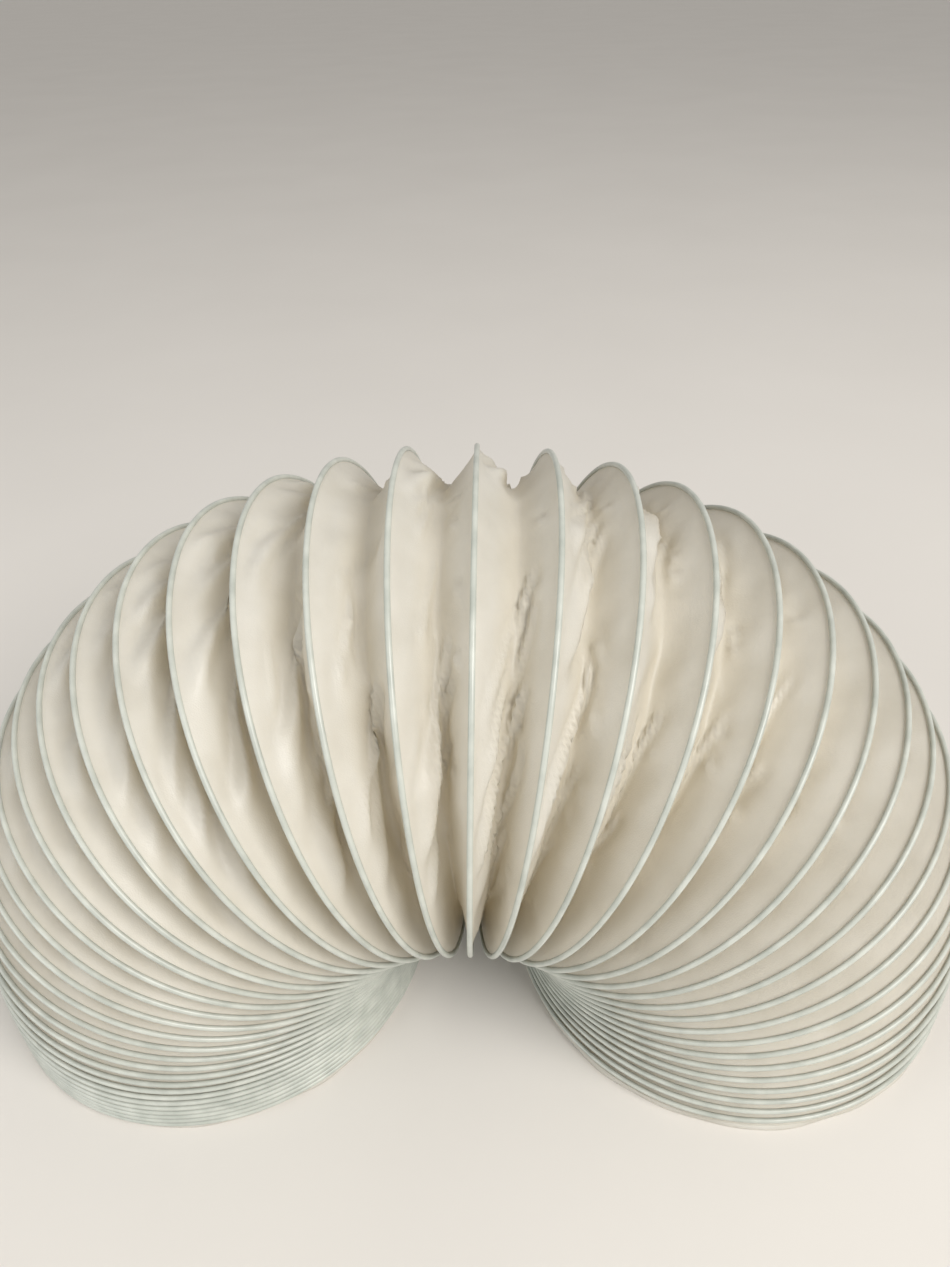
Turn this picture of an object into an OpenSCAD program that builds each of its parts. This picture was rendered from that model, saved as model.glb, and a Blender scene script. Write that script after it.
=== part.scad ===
// Exhaust hose: a pleated film duct on a spring wire helix, bent over into an
// arch that stands on its two open ends.
// The arch lies in the XZ plane, the floor is z = 0 and -Y is the front.

/* [Duct] */
// Outside diameter over the wire
duct_d = 150; // [120:5:180]
// Film thickness
film_t = 0.2; // [0.15:0.05:0.3]
// Width of film in one turn, measured along the pleat from wire to wire
pleat_w = 29; // [24:1:34]
// Height of the plain film hem below the last wire turn at each end
hem_h = 2.5; // [2:0.5:6]
// Thickness of the turned-in hem at the floor
hem_t = 1; // [0.6:0.1:2]

/* [Wire] */
// Diameter of the spring wire
wire_d = 1.4; // [1:0.1:1.8]
// Distance from wire to wire where the turns are pressed together
pack_pitch = 1.8; // [1.6:0.1:2.4]
// Gap between the wire and the film fold that it is sealed into
seal_gap = 0.05; // [0.05:0.05:0.2]

/* [Arch] */
// Turns of wire from the left end up to the crown
turns_left = 25; // [20:1:30]
// Turns of wire from the crown down to the right end
turns_right = 19; // [16:1:26]
// Lean of the crown turn out of the vertical, towards the right end
crown_lean = 2; // [-4:1:4]
// How early the left leg straightens, as the power of its bend curve
left_fade = 2; // [1:0.25:3]
// How early the right leg straightens, as the power of its bend curve
right_fade = 1; // [1:0.25:3]
// Extra opening of the crown turns over the smooth bend
crown_spread = 0.15; // [0:0.05:0.3]
// Extra distance between turns at the left end
left_slack = 0.6; // [0.2:0.1:1.5]

/* [Fineness] */
// Flat facets in one turn of the film and the wire
facets = 20; // [16:2:24]
// Sides of the wire's section
wire_sides = 4; // [4:1:5]

/* [Hidden] */
film_colour = [0.90, 0.89, 0.84];
wire_colour = [0.62, 0.64, 0.64];

wire_r = (duct_d - wire_d) / 2;
film_r = wire_r - wire_d / 2 - seal_gap;
halves_left = 2 * turns_left;
halves = 2 * (turns_left + turns_right);
slack_power = 4;
crown_power = 6;

function sum(v, i = 0) = i < len(v) ? v[i] + sum(v, i + 1) : 0;
// The start value followed by the running totals
function running(v, start) =
  [for (i = 0, a = start; i <= len(v); a = i < len(v) ? a + v[i] : a, i = i + 1) a];

// Share of a leg, 0 at the crown and 1 at the foot, at the middle of each half turn
leg_share = [for (k = [0 : halves - 1])
  k < halves_left ? (halves_left - k - 0.5) / halves_left
                  : (k + 0.5 - halves_left) / (halves - halves_left)];

// Relative bend of each half turn: most at the crown, none at the feet
bend_share = [for (k = [0 : halves - 1])
  pow(1 - pow(leg_share[k], 2), k < halves_left ? left_fade : right_fade)
    + crown_spread * pow(1 - leg_share[k], crown_power)];
left_sum = sum([for (k = [0 : halves_left - 1]) bend_share[k]]);
right_sum = sum([for (k = [halves_left : halves - 1]) bend_share[k]]);
bend = [for (k = [0 : halves - 1])
  k < halves_left ? bend_share[k] / left_sum * (90 + crown_lean)
                  : bend_share[k] / right_sum * (90 - crown_lean)];
// Lean of the turn at each half turn's ends, from flat on the left to flat on the right
lean = running(bend, -90);

// Advance of the turn's centre over each half turn
tight_step = [for (k = [0 : halves - 1]) pack_pitch / 2 + wire_r * bend[k] * PI / 180
  + (k < halves_left ? left_slack / 2 * pow(leg_share[k], slack_power) : 0)];
mid_lean = [for (k = [0 : halves - 1]) (lean[k] + lean[k + 1]) / 2];
// The right leg opens a little, so that both ends stand on the floor
right_spread = [for (k = [0 : halves - 1]) k < halves_left ? 0 : pow(leg_share[k], slack_power) / 2];
rise = sum([for (k = [0 : halves - 1]) -sin(mid_lean[k]) * tight_step[k]]);
fall_share = sum([for (k = [0 : halves - 1]) sin(mid_lean[k]) * right_spread[k]]);
right_slack = rise / fall_share;
step = [for (k = [0 : halves - 1]) tight_step[k] + right_slack * right_spread[k]];

run_x = running([for (k = [0 : halves - 1]) cos(mid_lean[k]) * step[k]], 0);
run_z = running([for (k = [0 : halves - 1]) -sin(mid_lean[k]) * step[k]], hem_h);
mid_x = (run_x[0] + run_x[halves]) / 2;
centre = [for (k = [0 : halves]) [run_x[k] - mid_x, run_z[k]]];

// Where the wire crosses the arch's plane: outside at even k, inside at odd k
function side(k) = k % 2 == 0 ? 1 : -1;
node_pt = [for (k = [0 : halves]) centre[k] + side(k) * wire_r * [sin(lean[k]), cos(lean[k])]];

// Each half turn is a plane half circle: out front when k is even, behind when it is odd.
// u counts turns from the left end, and angle runs on with it, 360 degrees to a turn.
total_turns = halves / 2;
n = facets;
function on_turn(k, angle, r) =
  let (a = node_pt[k], b = node_pt[k + 1], d = side(k) * (a - b), m = (a + b) / 2,
       q = norm(d) / 2 - (wire_r - r), e = d / norm(d))
  [m[0] + e[0] * q * cos(angle), -q * sin(angle), m[1] + e[1] * q * cos(angle)];
function end_ring(k, angle, r) =
  let (c = centre[k], reach = r * cos(angle))
  [c[0] + reach * sin(lean[k]), -r * sin(angle), c[1] + reach * cos(lean[k])];
function crest(u, r) =
  u < 0 ? end_ring(0, 360 * u, r) :
  u >= total_turns ? end_ring(halves, 360 * u, r) :
  on_turn(floor(2 * u), 360 * u, r);

// The same angle on the nearest whole turn that has a turn after it
function inner_turn(u) =
  u < 0 ? u + 1 : u > total_turns - 1 ? u - ceil(u - total_turns + 1) : u;
function gap_at(u) =
  let (v = inner_turn(u)) norm(crest(min(v + 1, total_turns), film_r) - crest(v, film_r));
function inward(u) =
  let (v = inner_turn(u)) crest(v, film_r - 1) - crest(v, film_r);
// Distance between the film's two faces along the radius, where the pleat lies steep
function wall(u) = film_t * pleat_w / gap_at(u);
function crest_pt(u, deeper) = crest(u, film_r) + deeper * inward(u);
// Middle of the fold between two turns, as deep as the film's width lets it go
function fold_pt(u, deeper) =
  let (a = crest(u, film_r), b = crest(u + 1, film_r),
       share = min(u + 1, total_turns) - max(u, 0),
       depth = share * sqrt(pow(pleat_w / 2, 2) - pow(gap_at(u) / 2, 2)))
  (a + b) / 2 + (depth + deeper) * inward(u);
function hem_pt(k, angle, r) =
  let (p = end_ring(k, angle, r)) [p[0], p[1], 0];

// Rows of points wind round the duct from the left end to the right, out and back
crest_count = (total_turns + 2) * n;
fold_count = (total_turns + 1) * n;
skin_size = crest_count - 1 + fold_count - 1 + 2 * n;
function skin(inside) = concat(
  [for (j = [1 : crest_count - 1]) let (u = j / n - 1) crest_pt(u, inside ? wall(u) : 0)],
  [for (j = [1 : fold_count - 1]) let (u = j / n - 1) fold_pt(u, inside ? wall(u) : 0)],
  [for (j = [0 : n - 1]) hem_pt(0, 360 * j / n, film_r - (inside ? hem_t : 0))],
  [for (j = [0 : n - 1]) hem_pt(halves, 360 * j / n, film_r - (inside ? hem_t : 0))]);
function crest_id(j) = j == 0 ? n - 1 : j == crest_count ? crest_count - n - 1 : j - 1;
function fold_id(j) =
  j == 0 ? crest_id(n) : j == fold_count ? crest_id(fold_count) : crest_count - 1 + j - 1;
function left_hem_id(j) = crest_count + fold_count - 2 + j % n;
function right_hem_id(j) = left_hem_id(j) + n;

// Four corners as two triangles, less any that the row ends pinch to a line
function quad(a, b, c, d) = [
  if (a != b && b != c && a != c) [a, b, c],
  if (a != c && c != d && a != d) [a, c, d]];
// One facet pair between two rows of points; back turns it over for the inner skin
function strip(lo, hi, back) =
  back ? quad(lo[0], lo[1], hi[1], hi[0]) : quad(lo[0], hi[0], hi[1], lo[1]);
function shift(t, by) = [for (f = t) [for (i = f) i + by]];
function skin_faces(back) = [
  for (j = [0 : n - 1])
    each strip([left_hem_id(j), left_hem_id(j + 1)], [crest_id(j), crest_id(j + 1)], back),
  for (j = [0 : fold_count - 1])
    each strip([crest_id(j), crest_id(j + 1)], [fold_id(j), fold_id(j + 1)], back),
  for (j = [0 : fold_count - 1])
    each strip([fold_id(j), fold_id(j + 1)], [crest_id(j + n), crest_id(j + 1 + n)], back),
  for (j = [crest_count - n : crest_count - 1])
    each strip([crest_id(j), crest_id(j + 1)], [right_hem_id(j), right_hem_id(j + 1)], back)];
// The flat hem faces join the two skins on the floor
function hem_faces(a, b, c, d) =
  concat(quad(a, b, b + skin_size, a + skin_size), quad(c + skin_size, d + skin_size, d, c));
end_faces = [
  for (j = [0 : n - 1])
    each hem_faces(left_hem_id(j), left_hem_id(j + 1), right_hem_id(j), right_hem_id(j + 1))];

// The wire is a row of sections swept from the left end to the right, j counting them
wire_rows = total_turns * n;
function wire_middle(j, r) =
  j == wire_rows ? on_turn(halves - 1, 180 * halves, r) : crest(j / n, r);
// Direction square to the plane of half turn k
function across(k) =
  let (d = side(k) * (node_pt[k] - node_pt[k + 1]))
  [-d[1], 0, d[0]] / norm(d);
// A section on the joint of two half turns lies midway between them
function sideways(j) =
  let (before = max(ceil(2 * j / n) - 1, 0),
       after = min(floor(2 * j / n), halves - 1),
       both = across(before) + across(after))
  both / norm(both);
function section(j) =
  let (middle = wire_middle(j, wire_r), outward = wire_middle(j, wire_r + 1) - middle)
  [for (i = [0 : wire_sides - 1])
    let (a = 360 * i / wire_sides)
    middle + wire_d / 2 * (cos(a) * outward + sin(a) * sideways(j))];
function corner_id(j, i) = j * wire_sides + i % wire_sides;
wire_ends = [
  [for (i = [0 : wire_sides - 1]) corner_id(0, i)],
  [for (i = [wire_sides - 1 : -1 : 0]) corner_id(wire_rows, i)]];

module wire() {
  color(wire_colour)
    polyhedron(
      points = [for (j = [0 : wire_rows]) each section(j)],
      faces = concat(
        [for (j = [0 : wire_rows - 1], i = [0 : wire_sides - 1])
          each quad(corner_id(j, i), corner_id(j + 1, i), corner_id(j + 1, i + 1), corner_id(j, i + 1))],
        wire_ends));
}

module film() {
  color(film_colour)
    polyhedron(
      points = concat(skin(false), skin(true)),
      faces = concat(skin_faces(false), shift(skin_faces(true), skin_size), end_faces));
}

film();
wire();
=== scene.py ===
import bpy
import numpy as np
from mathutils import Matrix, Vector


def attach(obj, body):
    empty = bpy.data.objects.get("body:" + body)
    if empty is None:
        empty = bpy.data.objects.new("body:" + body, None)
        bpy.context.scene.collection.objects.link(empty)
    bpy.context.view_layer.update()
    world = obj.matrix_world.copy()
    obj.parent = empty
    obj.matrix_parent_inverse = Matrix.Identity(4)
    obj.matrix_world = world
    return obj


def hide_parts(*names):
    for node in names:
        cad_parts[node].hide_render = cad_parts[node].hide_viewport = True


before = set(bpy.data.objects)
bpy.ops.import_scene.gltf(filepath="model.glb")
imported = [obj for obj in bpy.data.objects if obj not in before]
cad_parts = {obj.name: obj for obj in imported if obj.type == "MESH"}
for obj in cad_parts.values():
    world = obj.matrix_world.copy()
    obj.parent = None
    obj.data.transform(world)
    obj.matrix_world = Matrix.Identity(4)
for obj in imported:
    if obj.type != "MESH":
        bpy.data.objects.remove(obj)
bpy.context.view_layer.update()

# Sizes of the duct in millimetres, as in the part's source
MM = 0.001
DUCT_D = 150.0
WIRE_D = 1.4
PLEAT_W = 29.0
HEM_H = 2.5
HEM_T = 1.0
PACK_PITCH = 1.8
TURNS_LEFT = 25
TURNS_RIGHT = 19
CROWN_LEAN = 2.0
LEFT_FADE = 2.0
RIGHT_FADE = 1.0
CROWN_SPREAD = 0.15
CROWN_POWER = 6
LEFT_SLACK = 0.6
SLACK_POWER = 4

WIRE_R = (DUCT_D - WIRE_D) / 2
TURNS = TURNS_LEFT + TURNS_RIGHT
HALVES = 2 * TURNS
HALVES_LEFT = 2 * TURNS_LEFT
TURN_LENGTH = 2 * np.pi * WIRE_R

# The bead is the wire inside its film sheath
BEAD_R = 0.78
BEAD_SIDES = 10
BEAD_STEPS = 168

# Film mesh: columns along one turn, rows across one pleat
FILM_STEPS = 240
FILM_ROWS = 28
FILM_PIECES = 4
FILM_INSET = 0.35
HEM_STEPS = 240

rng = np.random.default_rng(7)


def unit(v):
    return v / np.linalg.norm(v, axis=-1, keepdims=True)


def smooth(low, high, x):
    t = np.clip((x - low) / (high - low), 0, 1)
    return t * t * (3 - 2 * t)


def arch():
    """Centre and lean of the turn at each half turn's end, from the left foot to the right, in the arch's plane."""
    k = np.arange(HALVES)
    left = k < HALVES_LEFT
    share = np.where(left, (HALVES_LEFT - k - 0.5) / HALVES_LEFT, (k + 0.5 - HALVES_LEFT) / (HALVES - HALVES_LEFT))
    fade = np.where(left, LEFT_FADE, RIGHT_FADE)
    bend = (1 - share**2) ** fade + CROWN_SPREAD * (1 - share) ** CROWN_POWER
    bend[left] *= (90 + CROWN_LEAN) / bend[left].sum()
    bend[~left] *= (90 - CROWN_LEAN) / bend[~left].sum()
    lean = np.radians(-90 + np.concatenate([[0], np.cumsum(bend)]))
    middle = (lean[1:] + lean[:-1]) / 2
    step = PACK_PITCH / 2 + WIRE_R * np.radians(bend) + np.where(left, LEFT_SLACK / 2 * share**SLACK_POWER, 0)
    spread = np.where(left, 0, share**SLACK_POWER / 2)
    slack = (-np.sin(middle) * step).sum() / (np.sin(middle) * spread).sum()
    step = step + slack * spread
    x = np.concatenate([[0], np.cumsum(np.cos(middle) * step)])
    z = HEM_H + np.concatenate([[0], np.cumsum(-np.sin(middle) * step)])
    return np.stack([x - (x[0] + x[-1]) / 2, z], 1), lean


CENTRE, LEAN = arch()
SIDE = np.where(np.arange(HALVES + 1) % 2 == 0, 1.0, -1.0)
NODE = CENTRE + SIDE[:, None] * WIRE_R * np.stack([np.sin(LEAN), np.cos(LEAN)], 1)


def wire_point(u, r):
    """Point at u turns from the left end, r from the duct's axis: half circles, and a level ring past each end."""
    k = np.clip(np.floor(2 * u).astype(int), 0, HALVES - 1)
    a, b = NODE[k], NODE[k + 1]
    d = SIDE[k][:, None] * (a - b)
    length = np.linalg.norm(d, axis=1)
    reach = length / 2 - (WIRE_R - r)
    e = d / length[:, None]
    m = (a + b) / 2
    angle = 2 * np.pi * u
    on_turn = np.stack([m[:, 0] + e[:, 0] * reach * np.cos(angle), -reach * np.sin(angle),
                        m[:, 1] + e[:, 1] * reach * np.cos(angle)], 1)
    end = np.where(u < 0, 0, HALVES)
    c, tilt = CENTRE[end], LEAN[end]
    ring = np.stack([c[:, 0] + r * np.sin(tilt) * np.cos(angle), -r * np.sin(angle),
                     c[:, 1] + r * np.cos(tilt) * np.cos(angle)], 1)
    return np.where(((u < 0) | (u > TURNS))[:, None], ring, on_turn)


def inward(u):
    """Direction towards the duct's axis at u turns."""
    tilt = np.interp(2 * u, np.arange(HALVES + 1), LEAN)
    angle = 2 * np.pi * u
    return -np.stack([np.sin(tilt) * np.cos(angle), -np.sin(angle), np.cos(tilt) * np.cos(angle)], 1)


def gap_at(u):
    """Distance from a turn to the next one, at u turns."""
    inside = np.where(u < 0, u + 1, np.where(u > TURNS - 1, u - np.ceil(u - TURNS + 1), u))
    return np.linalg.norm(wire_point(np.minimum(inside + 1, TURNS), WIRE_R) - wire_point(inside, WIRE_R), axis=1)


def add_folds(relief, s, v, count, start, length, end, height, width, kind):
    """Long creases that start as a pinch by the right-hand bead and run down to the left-hand one."""
    columns = relief.shape[0]
    spacing = s[1] - s[0]
    begin = np.sort(rng.uniform(s[0], s[-1], count))
    for s0 in begin:
        run = rng.uniform(*length)
        v0 = rng.uniform(*start)
        v1 = rng.uniform(*end)
        tall = rng.uniform(*height)
        wide = rng.uniform(*width)
        bow = rng.uniform(-0.05, 0.05)
        first = max(int((s0 - 5 - s[0]) / spacing), 0)
        last = min(int((s0 + run + 6 - s[0]) / spacing) + 1, columns)
        if last - first < 2:
            continue
        x = (s[first:last, None] - s0) / run
        xc = np.clip(x, 0, 1)
        line = v0 + (v1 - v0) * xc**1.1 + bow * np.sin(2 * np.pi * xc)
        d = (v[None, :] - line) * PLEAT_W
        w = wide * (0.6 + kind * xc**2)
        sharp = np.exp(-np.abs(d) / w)
        rounded = np.exp(-(d / (1.25 * w)) ** 2)
        ridge = (1 - xc) * sharp + xc * rounded
        groove = 0.55 * np.exp(-((d - 1.6 * w - 0.6) / (0.9 + w)) ** 2) + 0.3 * np.exp(-((d + 2.4 * w) / (1.6 * w)) ** 2)
        fade = smooth(-2.0 / run, 3.0 / run, x) * (1 - smooth(0.86, 1.0 + 5 / run, x))
        relief[first:last] += tall * fade * (ridge - groove)


def add_pinches(relief, s, v, count, across, height, radius):
    """Small pinched points, a raised cone with a dimple above it."""
    columns = relief.shape[0]
    spacing = s[1] - s[0]
    for s0 in rng.uniform(s[0], s[-1], count):
        v0 = rng.uniform(*across)
        tall = rng.uniform(*height)
        r = rng.uniform(*radius)
        first = max(int((s0 - 4 * r - s[0]) / spacing), 0)
        last = min(int((s0 + 4 * r - s[0]) / spacing) + 1, columns)
        if last - first < 2:
            continue
        along = s[first:last, None] - s0
        over = (v[None, :] - v0) * PLEAT_W
        cone = np.exp(-np.hypot(along / 1.5, over) / r)
        dimple = np.exp(-(np.hypot(along + 1.6 * r, over - 0.5 * r) / r) ** 2)
        relief[first:last] += tall * (cone - 0.8 * dimple)


def swell(s, t, waves, along, over):
    """Soft uneven swelling, a sum of long waves that lean with the folds."""
    total = np.zeros((len(s), len(t)))
    for _ in range(waves):
        length_s = rng.uniform(*along)
        length_t = rng.uniform(*over)
        phase = rng.uniform(0, 2 * np.pi)
        total += np.sin(2 * np.pi * (s[:, None] / length_s + t[None, :] / length_t) + phase)
    return total / np.sqrt(waves)


def film_relief(s, v):
    t = v * PLEAT_W
    relief = np.zeros((len(s), len(v)))
    run = s[-1] - s[0]
    add_folds(relief, s, v, int(run / 26), (0.56, 0.74), (34, 62), (0.10, 0.28), (1.1, 2.2), (0.9, 1.5), 1.6)
    add_folds(relief, s, v, int(run / 24), (0.35, 0.66), (12, 30), (0.12, 0.4), (0.4, 1.0), (0.5, 0.9), 0.9)
    add_pinches(relief, s, v, int(run / 26), (0.6, 0.8), (0.8, 1.6), (0.9, 1.6))
    relief += 0.35 * swell(s, t, 6, (40, 90), (18, 40))
    relief += 0.18 * swell(s, t, 8, (12, 26), (14, 30))
    return relief


def film_surface():
    """Points of the whole film, u turns by v across, and its fold depth."""
    columns = (TURNS + 1) * FILM_STEPS + 1
    u = np.arange(columns) / FILM_STEPS - 1
    v = np.linspace(0, 1, FILM_ROWS + 1)
    near = wire_point(u, WIRE_R - FILM_INSET)
    far = wire_point(u + 1, WIRE_R - FILM_INSET)
    toward = unit(inward(np.clip(u, 0, TURNS)) + inward(np.clip(u + 1, 0, TURNS)))
    share = np.minimum(u + 1, TURNS) - np.maximum(u, 0)
    gap = gap_at(u)
    depth = share * np.sqrt(np.maximum((PLEAT_W / 2) ** 2 - (gap / 2) ** 2, 1))
    open_share = np.clip(gap / 15, 0, 1)
    skew = 1 + 0.2 * open_share[:, None]
    bent = v[None, :] ** skew
    profile = 1 - np.abs(2 * bent - 1) ** (1.15 + 0.35 * open_share[:, None])
    base = (near[:, None, :] * (1 - v)[None, :, None] + far[:, None, :] * v[None, :, None]
            + (depth[:, None] * profile)[:, :, None] * toward[:, None, :])
    ds = np.gradient(base, axis=0)
    dv = np.gradient(base, axis=1)
    normal = unit(np.cross(dv, ds))
    normal *= np.where((normal * toward[:, None, :]).sum(2, keepdims=True) > 0, -1, 1)
    s = u * TURN_LENGTH
    hold = smooth(0.03, 0.2, v) * smooth(0.0, 0.2, 1 - v)
    strength = open_share[:, None] ** 1.4 * hold[None, :] * share[:, None]
    points = base + (strength * film_relief(s, v))[:, :, None] * normal
    return u, v, points, depth[:, None] * profile


def grid_mesh(name, points, u, v, deep):
    """A sheet through a grid of points, with where each point lies on the film kept as attributes."""
    rows, cols = points.shape[:2]
    index = np.arange(rows * cols).reshape(rows, cols)
    quads = np.stack([index[:-1, :-1], index[1:, :-1], index[1:, 1:], index[:-1, 1:]], -1).reshape(-1, 4)
    mesh = bpy.data.meshes.new(name)
    mesh.vertices.add(rows * cols)
    mesh.vertices.foreach_set("co", (points.reshape(-1, 3) * MM).astype(np.float32).ravel())
    mesh.loops.add(len(quads) * 4)
    mesh.loops.foreach_set("vertex_index", quads.ravel())
    mesh.polygons.add(len(quads))
    mesh.polygons.foreach_set("loop_start", np.arange(len(quads)) * 4)
    mesh.polygons.foreach_set("loop_total", np.full(len(quads), 4))
    mesh.polygons.foreach_set("use_smooth", np.ones(len(quads), bool))
    # The fold depth is kept as the 'deep' attribute, which the film material uses to paint shade into the folds.
    for label, value in (("along", np.repeat(u * TURN_LENGTH * MM, cols)),
                         ("across", np.tile(v, rows)),
                         ("deep", deep.ravel() * MM)):
        layer = mesh.attributes.new(label, "FLOAT", "POINT")
        layer.data.foreach_set("value", value.astype(np.float32))
    mesh.update()
    mesh.validate()
    return mesh


def make_film():
    u, v, points, deep = film_surface()
    cuts = np.linspace(0, len(u) - 1, FILM_PIECES + 1).astype(int)
    pieces = []
    for i in range(FILM_PIECES):
        part = slice(cuts[i], cuts[i + 1] + 1)
        mesh = grid_mesh(f"film_{i + 1}", points[part], u[part], v, deep[part])
        piece = bpy.data.objects.new(f"film_{i + 1}", mesh)
        bpy.context.scene.collection.objects.link(piece)
        pieces.append(piece)
    return pieces


def make_hem(name, end):
    """The smooth turned-in band of film that the end stands on."""
    angle = np.arange(HEM_STEPS + 1) / HEM_STEPS
    outer = WIRE_R - FILM_INSET
    inner = outer - HEM_T
    section = np.array([
        (outer, HEM_H), (outer + 0.25, 0.75 * HEM_H), (outer + 0.2, 0.4 * HEM_H), (outer, 0.15 * HEM_H),
        (outer - 0.3, 0), (inner + 0.3, 0), (inner, 0.2 * HEM_H), (inner, 0.6 * HEM_H), (inner + 0.1, HEM_H)])
    uneven = 1 + 0.004 * swell(angle[:-1] * TURN_LENGTH, np.zeros(1), 6, (14, 60), (10, 20))
    uneven = np.append(uneven[:, 0], uneven[0, 0])
    r = section[None, :, 0] * np.where(section[:, 1] > 0.9 * HEM_H, 1, uneven[:, None])
    turn = 2 * np.pi * angle[:, None]
    points = np.stack([CENTRE[end, 0] + r * np.sin(LEAN[end]) * np.cos(turn), -r * np.sin(turn),
                       np.broadcast_to(section[None, :, 1], r.shape)], -1)
    v = np.linspace(0, 1, len(section))
    mesh = grid_mesh(name, points, angle, v, np.zeros(r.shape))
    hem = bpy.data.objects.new(name, mesh)
    bpy.context.scene.collection.objects.link(hem)
    return hem


def make_bead():
    """The wire under its film sheath, a round tube along the helix."""
    u = np.arange(TURNS * BEAD_STEPS + 1) / BEAD_STEPS
    middle = wire_point(u, WIRE_R)
    tangent = unit(np.gradient(middle, axis=0))
    out = -inward(u)
    out = unit(out - (out * tangent).sum(1, keepdims=True) * tangent)
    side = np.cross(tangent, out)
    angle = np.arange(BEAD_SIDES) * 2 * np.pi / BEAD_SIDES
    ring = BEAD_R * (np.cos(angle)[None, :, None] * out[:, None, :] + np.sin(angle)[None, :, None] * side[:, None, :])
    points = middle[:, None, :] + ring
    rows = len(u)
    index = np.arange(rows * BEAD_SIDES).reshape(rows, BEAD_SIDES)
    after = np.roll(index, -1, axis=1)
    quads = np.stack([index[:-1], index[1:], after[1:], after[:-1]], -1).reshape(-1, 4)
    ends = [list(index[0]), list(index[-1][::-1])]
    mesh = bpy.data.meshes.new("wire_in_film")
    mesh.from_pydata((points.reshape(-1, 3) * MM).tolist(), [], quads.tolist() + ends)
    mesh.polygons.foreach_set("use_smooth", np.ones(len(mesh.polygons), bool))
    mesh.update()
    bead = bpy.data.objects.new("wire_in_film", mesh)
    bpy.context.scene.collection.objects.link(bead)
    return bead


def new_material(name):
    material = bpy.data.materials.new(name)
    material.use_nodes = True
    nodes = material.node_tree.nodes
    nodes.clear()
    return material, nodes, material.node_tree.links


def tinted_noise(nodes, links, scale, low, high):
    """Noise in the object's own space, as a colour that runs from low to high."""
    place = nodes.new("ShaderNodeTexCoord")
    noise = nodes.new("ShaderNodeTexNoise")
    noise.inputs["Scale"].default_value = scale
    noise.inputs["Detail"].default_value = 4
    ramp = nodes.new("ShaderNodeValToRGB")
    ramp.color_ramp.elements[0].position = 0.3
    ramp.color_ramp.elements[1].position = 0.7
    ramp.color_ramp.elements[0].color = low
    ramp.color_ramp.elements[1].color = high
    links.new(place.outputs["Object"], noise.inputs["Vector"])
    links.new(noise.outputs[0], ramp.inputs[0])
    return noise, ramp


def add_bump(nodes, links, shader, noise, strength, distance):
    bump = nodes.new("ShaderNodeBump")
    bump.inputs["Strength"].default_value = strength
    bump.inputs["Distance"].default_value = distance
    links.new(noise.outputs[0], bump.inputs["Height"])
    links.new(bump.outputs[0], shader.inputs["Normal"])


def film_material():
    """Satin film, finely wrinkled and a little see-through, with painted shade: its colour is darkened and warmed
    deep in the folds by fold depth, and left paler where the film is stretched and the folds are shallow.
    """
    material, nodes, links = new_material("film")
    out = nodes.new("ShaderNodeOutputMaterial")
    mix = nodes.new("ShaderNodeMixShader")
    gloss = nodes.new("ShaderNodeBsdfPrincipled")
    through = nodes.new("ShaderNodeBsdfTranslucent")
    noise, tint = tinted_noise(nodes, links, 60, (0.74, 0.72, 0.655, 1), (0.84, 0.825, 0.77, 1))
    # Painted shade: fold depth multiplies the film's colour darker and warmer deep in the folds.
    deep = nodes.new("ShaderNodeAttribute")
    deep.attribute_name = "deep"
    depth = nodes.new("ShaderNodeMapRange")
    depth.inputs["From Min"].default_value = 0.005
    depth.inputs["From Max"].default_value = 0.015
    depth.inputs["To Max"].default_value = 0.55
    painted_fold_shade = nodes.new("ShaderNodeMixRGB")
    painted_fold_shade.blend_type = "MULTIPLY"
    painted_fold_shade.inputs["Color2"].default_value = (0.93, 0.82, 0.62, 1)
    fine = nodes.new("ShaderNodeTexNoise")
    fine.inputs["Scale"].default_value = 420
    gloss.inputs["Roughness"].default_value = 0.36
    gloss.inputs["IOR"].default_value = 1.5
    through.inputs["Color"].default_value = (0.88, 0.80, 0.64, 1)
    mix.inputs[0].default_value = 0.3
    links.new(deep.outputs["Fac"], depth.inputs["Value"])
    links.new(depth.outputs[0], painted_fold_shade.inputs[0])
    links.new(tint.outputs[0], painted_fold_shade.inputs["Color1"])
    links.new(painted_fold_shade.outputs[0], gloss.inputs["Base Color"])
    add_bump(nodes, links, gloss, fine, 0.25, 0.0004)
    links.new(gloss.outputs[0], mix.inputs[1])
    links.new(through.outputs[0], mix.inputs[2])
    links.new(mix.outputs[0], out.inputs["Surface"])
    return material


def bead_material():
    """Grey-green wire showing through its tight film sheath."""
    material, nodes, links = new_material("wire_in_film")
    out = nodes.new("ShaderNodeOutputMaterial")
    gloss = nodes.new("ShaderNodeBsdfPrincipled")
    noise, tint = tinted_noise(nodes, links, 140, (0.43, 0.455, 0.41, 1), (0.58, 0.60, 0.545, 1))
    gloss.inputs["Roughness"].default_value = 0.28
    links.new(tint.outputs[0], gloss.inputs["Base Color"])
    add_bump(nodes, links, gloss, noise, 0.15, 0.0003)
    links.new(gloss.outputs[0], out.inputs["Surface"])
    return material


def floor_material():
    material, nodes, links = new_material("floor")
    out = nodes.new("ShaderNodeOutputMaterial")
    gloss = nodes.new("ShaderNodeBsdfPrincipled")
    noise, tint = tinted_noise(nodes, links, 6, (0.725, 0.695, 0.655, 1), (0.745, 0.715, 0.675, 1))
    gloss.inputs["Roughness"].default_value = 0.8
    links.new(tint.outputs[0], gloss.inputs["Base Color"])
    links.new(gloss.outputs[0], out.inputs["Surface"])
    return material


def make_floor():
    size = 12.0
    mesh = bpy.data.meshes.new("floor")
    mesh.from_pydata([(-size, -size, 0), (size, -size, 0), (size, size, 0), (-size, size, 0)], [], [(0, 1, 2, 3)])
    floor = bpy.data.objects.new("floor", mesh)
    floor.data.materials.append(floor_material())
    bpy.context.scene.collection.objects.link(floor)


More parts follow.
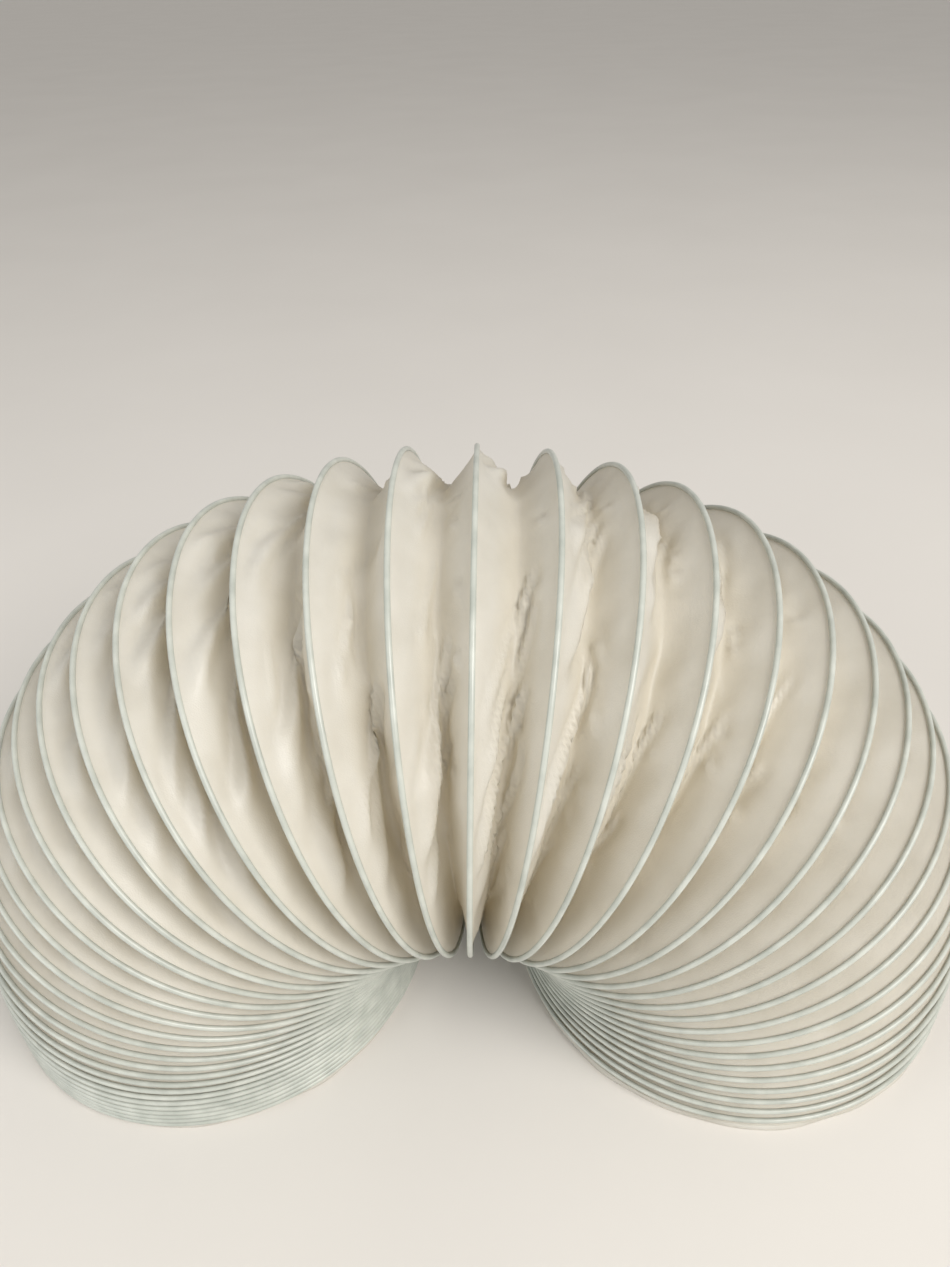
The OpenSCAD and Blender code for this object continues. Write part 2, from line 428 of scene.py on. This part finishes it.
def lamp(name, place, aim, size, power, colour):
    data = bpy.data.lights.new(name, "AREA")
    data.shape = "SQUARE"
    data.size = size
    data.energy = power
    data.color = colour
    lamp_object = bpy.data.objects.new(name, data)
    lamp_object.location = place
    lamp_object.rotation_euler = (Vector(aim) - Vector(place)).to_track_quat("-Z", "Y").to_euler()
    bpy.context.scene.collection.objects.link(lamp_object)


def make_lights():
    world = bpy.data.worlds.new("studio")
    world.use_nodes = True
    world.node_tree.nodes["Background"].inputs["Color"].default_value = (1.0, 0.98, 0.95, 1)
    world.node_tree.nodes["Background"].inputs["Strength"].default_value = 0.5
    bpy.context.scene.world = world
    aim = (0, 0, 0.1)
    lamp("key", (0.9, -0.9, 1.3), aim, 0.9, 26, (1.0, 0.98, 0.95))
    lamp("fill", (-1.2, -0.8, 0.7), aim, 1.0, 7, (0.95, 0.98, 1.0))


def make_camera():
    """The photo's own view: a phone held in front, looking down on the arch."""
    image_w, image_h = 950, 1267
    focal_px = 930.0
    place = Vector((11.4, -214.4, 299.2)) * MM
    pitch, yaw, roll = np.radians([36.8, 1.9, -1.7])
    forward = Vector((-np.sin(yaw) * np.cos(pitch), np.cos(yaw) * np.cos(pitch), -np.sin(pitch)))
    right = Vector((np.cos(yaw), np.sin(yaw), 0))
    up = right.cross(forward)
    image_x = np.cos(roll) * right + np.sin(roll) * up
    image_y = np.cos(roll) * up - np.sin(roll) * right
    data = bpy.data.cameras.new("camera")
    data.sensor_width = 36.0
    data.lens = focal_px / image_h * data.sensor_width
    data.clip_start = 0.01
    camera = bpy.data.objects.new("camera", data)
    camera.matrix_world = Matrix((
        (image_x[0], image_y[0], -forward[0], place[0]),
        (image_x[1], image_y[1], -forward[1], place[1]),
        (image_x[2], image_y[2], -forward[2], place[2]),
        (0, 0, 0, 1)))
    bpy.context.scene.collection.objects.link(camera)
    bpy.context.scene.camera = camera


make_camera()
make_lights()
make_floor()

film_finish = film_material()
for piece in make_film() + [make_hem("hem_left", 0), make_hem("hem_right", HALVES)]:
    piece.data.materials.append(film_finish)
    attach(piece, "root")
    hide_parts("film")

bead = make_bead()
bead.data.materials.append(bead_material())
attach(bead, "root")
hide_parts("wire")

bpy.context.scene.view_settings.view_transform = "Standard"
